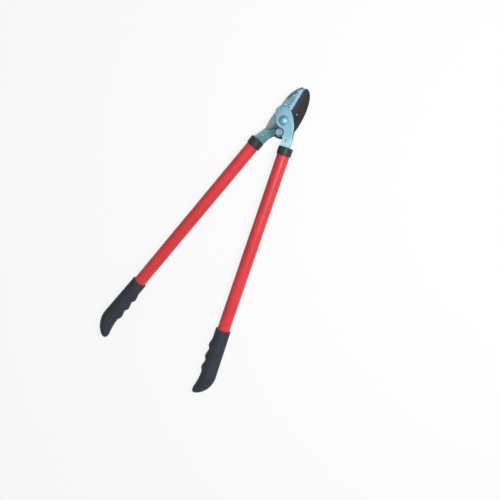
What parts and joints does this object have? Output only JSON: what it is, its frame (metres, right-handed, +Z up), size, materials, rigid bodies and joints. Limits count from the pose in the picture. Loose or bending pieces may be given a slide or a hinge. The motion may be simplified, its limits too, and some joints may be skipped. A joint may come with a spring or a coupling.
{
  "type": "anvil lopper",
  "caption": "Anvil lopper with a simple pivot: a round-backed dark blade closes on a soft anvil strip in a silver jaw, worked by long red tube handles with black bumped grips.",
  "frame": {"origin": "on the main pivot axis, at the end of the pivot bolt, in the plane that the lopper rests on", "axes": "+Z up along the pivot axis, +Y from the grips towards the jaws along the bisector of the handles, +X to the right, on the side of the blade"},
  "size_m": [0.3059, 0.7144, 0.033],
  "materials": {
    "cheek_steel": "bright satin plate",
    "jaw_steel": "satin",
    "anvil_alloy": "matt",
    "bright_steel": "polished",
    "thrust_bronze": "plain",
    "blade_steel": "black low-friction coat, tang bare",
    "lever_steel": "satin",
    "bumper_rubber": "matt",
    "collar_plastic": "satin",
    "insert_plastic": "plain",
    "tube_paint": "glossy red",
    "grip_plastic": "soft matt"
  },
  "bodies": {
    "anvil_arm": {"front_cheek": "cheek_steel", "rear_cheek": "cheek_steel", "cheek_spacer": "cheek_steel", "cheek_rivets": "bright_steel", "anvil_jaw": "jaw_steel", "jaw_rivets": "bright_steel", "anvil_pad": "anvil_alloy", "pad_pins": "bright_steel", "pivot_bolt": "bright_steel", "pivot_washers": "bright_steel", "pivot_nut": "bright_steel", "thrust_washers": "thrust_bronze", "right_collar": "collar_plastic", "right_insert": "insert_plastic", "right_tang_pin": "bright_steel", "right_tube": "tube_paint", "right_grip": "grip_plastic"},
    "blade_arm": {"blade": "blade_steel", "front_lever_plate": "lever_steel", "rear_lever_plate": "lever_steel", "lever_rivets": "bright_steel", "bumper_rings": "bumper_rubber", "bumper_bolt": "bright_steel", "bumper_washers": "bright_steel", "bumper_nut": "bright_steel", "stop_pin": "bright_steel", "left_collar": "collar_plastic", "left_insert": "insert_plastic", "left_tang_pin": "bright_steel", "left_tube": "tube_paint", "left_grip": "grip_plastic"}
  },
  "joints": [
    {"name": "blade_pivot", "type": "hinge", "parent": "anvil_arm", "child": "blade_arm", "pos_m": [0, 0, 0.0165], "axis": [0, 0, -1], "range_deg": [0, 55]}
  ]
}
